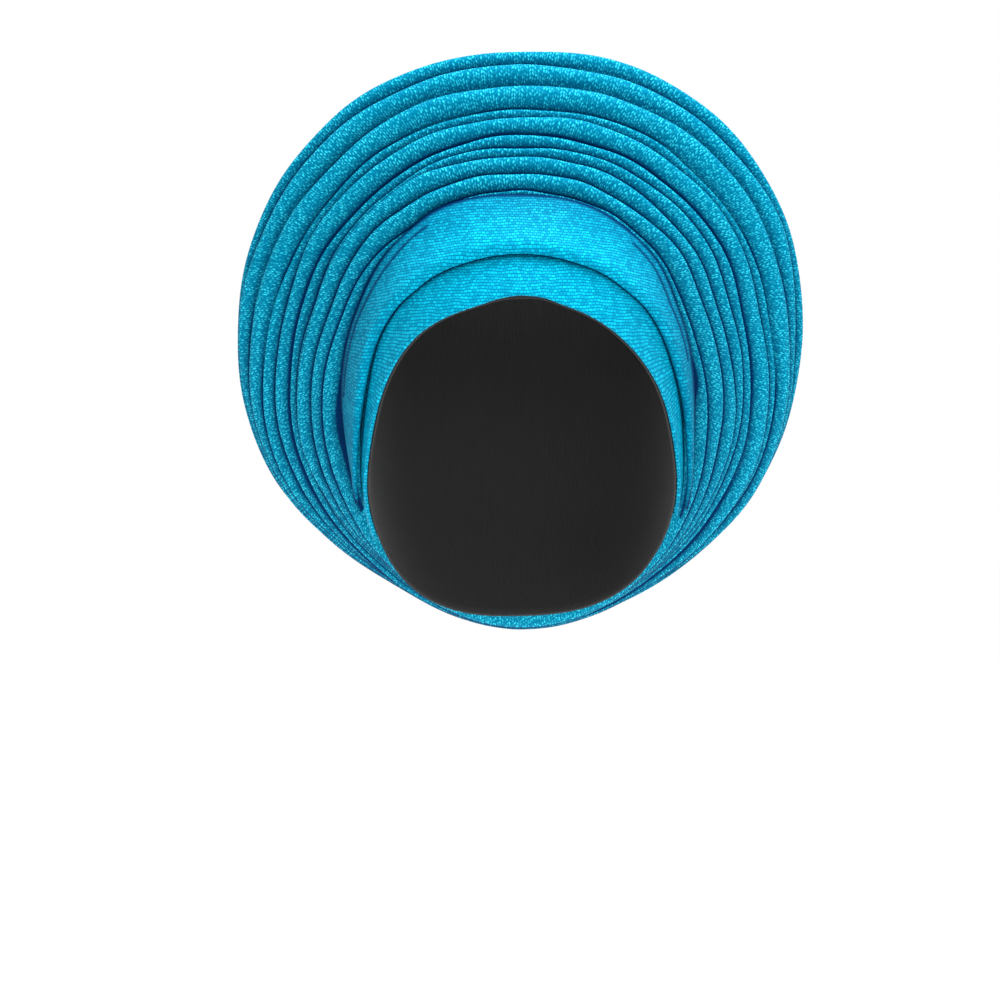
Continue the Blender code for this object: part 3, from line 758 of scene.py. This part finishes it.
def woven_finish(name, ground_colour, deep_colour, painted_sheen_colour, dashes_of):
    """The jacquard: a grainy ground, dashes of one kind on it with painted sheen and glints, and painted
    shade and a painted dark line towards the creases.
    """
    finish, tree, shader = new_finish(name)
    cloth, across, along_way = swayed_cloth(tree)
    on_top, each = dashes_of(tree, across, along_way)
    grain = add(tree, "ShaderNodeTexNoise", inputs={"Vector": cloth, "Scale": 1.0 / GRAIN,
                                                    "Detail": 2.0, "Roughness": 0.6})
    patches = add(tree, "ShaderNodeTexNoise", inputs={"Vector": cloth, "Scale": 1.0 / SHEEN_PATCH, "Detail": 3.0})
    # Painted shade and a painted dark line towards the creases, from the out_of_crease attribute.
    out = add(tree, "ShaderNodeAttribute", {"attribute_name": "out_of_crease"})
    shade = add(tree, "ShaderNodeMapRange", {"interpolation_type": "SMOOTHSTEP"},
                {"Value": out.outputs["Fac"], "From Min": 0.0, "From Max": SHADE_REACH,
                 "To Min": SHADE_MOST, "To Max": 0.0})
    line = add(tree, "ShaderNodeMapRange", {"interpolation_type": "SMOOTHSTEP"},
               {"Value": out.outputs["Fac"], "From Min": CREASE_CORE, "From Max": CREASE_REACH,
                "To Min": 1.0, "To Max": 0.0})
    spread = add(tree, "ShaderNodeMath", {"operation": "MULTIPLY_ADD", "use_clamp": True},
                 {0: grain.outputs["Fac"], 1: GRAIN_SPREAD, 2: GRAIN_LEVEL})
    ground = add(tree, "ShaderNodeMix", {"data_type": "RGBA"},
                 {0: spread.outputs[0], 6: linear(deep_colour), 7: linear(ground_colour)})
    # Painted sheen: the dashes turn towards the pale colour in random patches.
    painted_sheen = add(tree, "ShaderNodeMath", {"operation": "MULTIPLY_ADD", "use_clamp": True},
                {0: patches.outputs["Fac"], 1: SHEEN_PATCH_SPREAD, 2: SHEEN_PATCH_LEVEL})
    thread_with_painted_sheen = add(tree, "ShaderNodeMix", {"data_type": "RGBA"},
                 {0: painted_sheen.outputs[0], 6: linear(DASH), 7: linear(painted_sheen_colour)})
    # Each dash's random brightness is a painted glint, and painted shade hides the dashes towards the
    # creases.
    dash_with_painted_glint = add(tree, "ShaderNodeMath", {"operation": "MULTIPLY"}, {0: on_top, 1: each})
    shown = add(tree, "ShaderNodeMath", {"operation": "MULTIPLY_ADD", "use_clamp": True},
                {0: shade.outputs[0], 1: -SHADE_MOST, 2: 1.0})
    dash_share = add(tree, "ShaderNodeMath", {"operation": "MULTIPLY"},
                     {0: dash_with_painted_glint.outputs[0], 1: shown.outputs[0]})
    shaded = add(tree, "ShaderNodeMix", {"data_type": "RGBA"},
                 {0: shade.outputs[0], 6: ground.outputs[2], 7: linear(SHADOW)})
    woven = add(tree, "ShaderNodeMix", {"data_type": "RGBA"},
                {0: dash_share.outputs[0], 6: shaded.outputs[2], 7: thread_with_painted_sheen.outputs[2]})
    # The painted dark line of shade lies over everything in a crease.
    deep = add(tree, "ShaderNodeMix", {"data_type": "RGBA"},
               {0: line.outputs[0], 6: woven.outputs[2], 7: linear(CREASE_LINE_SHADE)})
    height = add(tree, "ShaderNodeMath", {"operation": "MULTIPLY_ADD"},
                 {0: grain.outputs["Fac"], 1: GRAIN_RELIEF, 2: on_top})
    bump = add(tree, "ShaderNodeBump", inputs={"Height": height.outputs[0], "Strength": RELIEF_STRENGTH,
                                               "Distance": RELIEF * MM})
    gloss = add(tree, "ShaderNodeMapRange", inputs={"Value": dash_share.outputs[0],
                                                    "To Min": GROUND_ROUGHNESS, "To Max": THREAD_ROUGHNESS})
    shader.inputs["IOR"].default_value = THREAD_IOR
    shader.inputs["Specular Tint"].default_value = linear(SILVER_TINT)
    for key, source in (("Base Color", deep.outputs[2]), ("Roughness", gloss.outputs[0]),
                        ("Normal", bump.outputs[0])):
        tree.links.new(source, shader.inputs[key])
    return finish


pleat_cloth = woven_finish("turquoise_jacquard_pleats", PLEAT_GROUND, PLEAT_DEEP, PLEAT_PAINTED_SHEEN,
                           slanting_dashes)
band_cloth = woven_finish("turquoise_jacquard_bands", BAND_GROUND, BAND_DEEP, BAND_PAINTED_SHEEN, rows_of_dashes)
for piece in pleat_pieces + [crown_cap]:
    piece.data.materials.append(pleat_cloth)
for piece in (forehead_band, upper_band):
    piece.data.materials.append(band_cloth)
print("finishes:", pleat_cloth.name, band_cloth.name)

# %% [markdown]
# ## Black knit
# The inner cap is a thin black jersey knit. It is matt, with fine ribs of loops about 1 mm apart, drawn a
# little coarser than real so that they show, and a soft grey bloom where the fibres catch the light.

# %% Black knit
# A wave texture of scale s repeats every 0.314 / s.
KNIT, KNIT_LOOP, LOOP_PITCH, WAVE_LENGTH = "#060607", "#131316", 1.4, 0.314
KNIT_ROUGHNESS, KNIT_BLOOM, LOOP_STRENGTH, LOOP_HEIGHT = 0.85, 0.03, 0.5, 0.2

knit, tree, shader = new_finish("black_jersey_knit")
cloth = add(tree, "ShaderNodeUVMap", {"uv_map": "cloth_mm"})
ribs = add(tree, "ShaderNodeTexWave", {"wave_type": "BANDS", "bands_direction": "X"},
           {"Vector": cloth.outputs["UV"], "Scale": WAVE_LENGTH / LOOP_PITCH, "Distortion": 1.2,
            "Detail": 1.0})
colour = add(tree, "ShaderNodeMix", {"data_type": "RGBA"},
             {0: ribs.outputs["Fac"], 6: linear(KNIT), 7: linear(KNIT_LOOP)})
bump = add(tree, "ShaderNodeBump", inputs={"Height": ribs.outputs["Fac"], "Strength": LOOP_STRENGTH,
                                           "Distance": LOOP_HEIGHT * MM})
shader.inputs["Roughness"].default_value = KNIT_ROUGHNESS
shader.inputs["Sheen Weight"].default_value = KNIT_BLOOM
tree.links.new(colour.outputs[2], shader.inputs["Base Color"])
tree.links.new(bump.outputs[0], shader.inputs["Normal"])
inner_cap.data.materials.append(knit)
print("finish:", knit.name)

# %% [markdown]
# ## Floor and light
# The wrap is shown in a white studio. A wide pale floor runs out until it meets the pale air, so that no
# line crosses the picture. Large soft lamps stand in for the studio's softboxes.

# %% Floor
FLOOR_Z, FLOOR_REACH, FLOOR_TURNS = -620.0, 20000.0, 96

angle = np.linspace(0.0, 2 * np.pi, FLOOR_TURNS, endpoint=False)
floor_points = np.stack((FLOOR_REACH * np.cos(angle), FLOOR_REACH * np.sin(angle),
                         np.full(FLOOR_TURNS, FLOOR_Z)), 1) * MM
faces = [list(range(FLOOR_TURNS))]
floor_mesh = bpy.data.meshes.new("studio_floor")
floor_mesh.from_pydata(floor_points.tolist(), [], faces)
floor = bpy.data.objects.new("studio_floor", floor_mesh)
bpy.context.scene.collection.objects.link(floor)
paper, tree, shader = new_finish("white_studio_paper")
shader.inputs["Base Color"].default_value = linear("#FFFFFF")
shader.inputs["Roughness"].default_value = 1.0
shader.inputs["Specular IOR Level"].default_value = 0.0
floor_mesh.materials.append(paper)
print("floor at", FLOOR_Z, "mm")

# %% Lights
# Name, place in mm, size in mm, power in watts.
LAMPS = (
    ("key_softbox", (250.0, -1500.0, 1200.0), 900.0, 27.0),
    ("fill_softbox", (900.0, -1500.0, 200.0), 1200.0, 5.0),
    ("top_softbox", (250.0, -400.0, 1500.0), 900.0, 52.0),
    ("back_softbox", (200.0, 1500.0, 900.0), 1200.0, 12.0),
)
AIM = (0.0, 0.0, -60.0)

for name, spot, size, power in LAMPS:
    lamp = bpy.data.lights.new(name, "AREA")
    lamp.shape, lamp.size, lamp.energy = "DISK", size * MM, power
    stand = bpy.data.objects.new(name, lamp)
    stand.location = [value * MM for value in spot]
    away = stand.location - type(stand.location)([value * MM for value in AIM])
    stand.rotation_euler = away.to_track_quat("Z", "Y").to_euler()
    bpy.context.scene.collection.objects.link(stand)

world = bpy.data.worlds.new("studio_air")
world.use_nodes = True
sky = world.node_tree.nodes["Background"]
sky.inputs["Color"].default_value = linear("#FFFFFF")
sky.inputs["Strength"].default_value = 1.0
bpy.context.scene.world = world
print("lamps:", [lamp[0] for lamp in LAMPS])
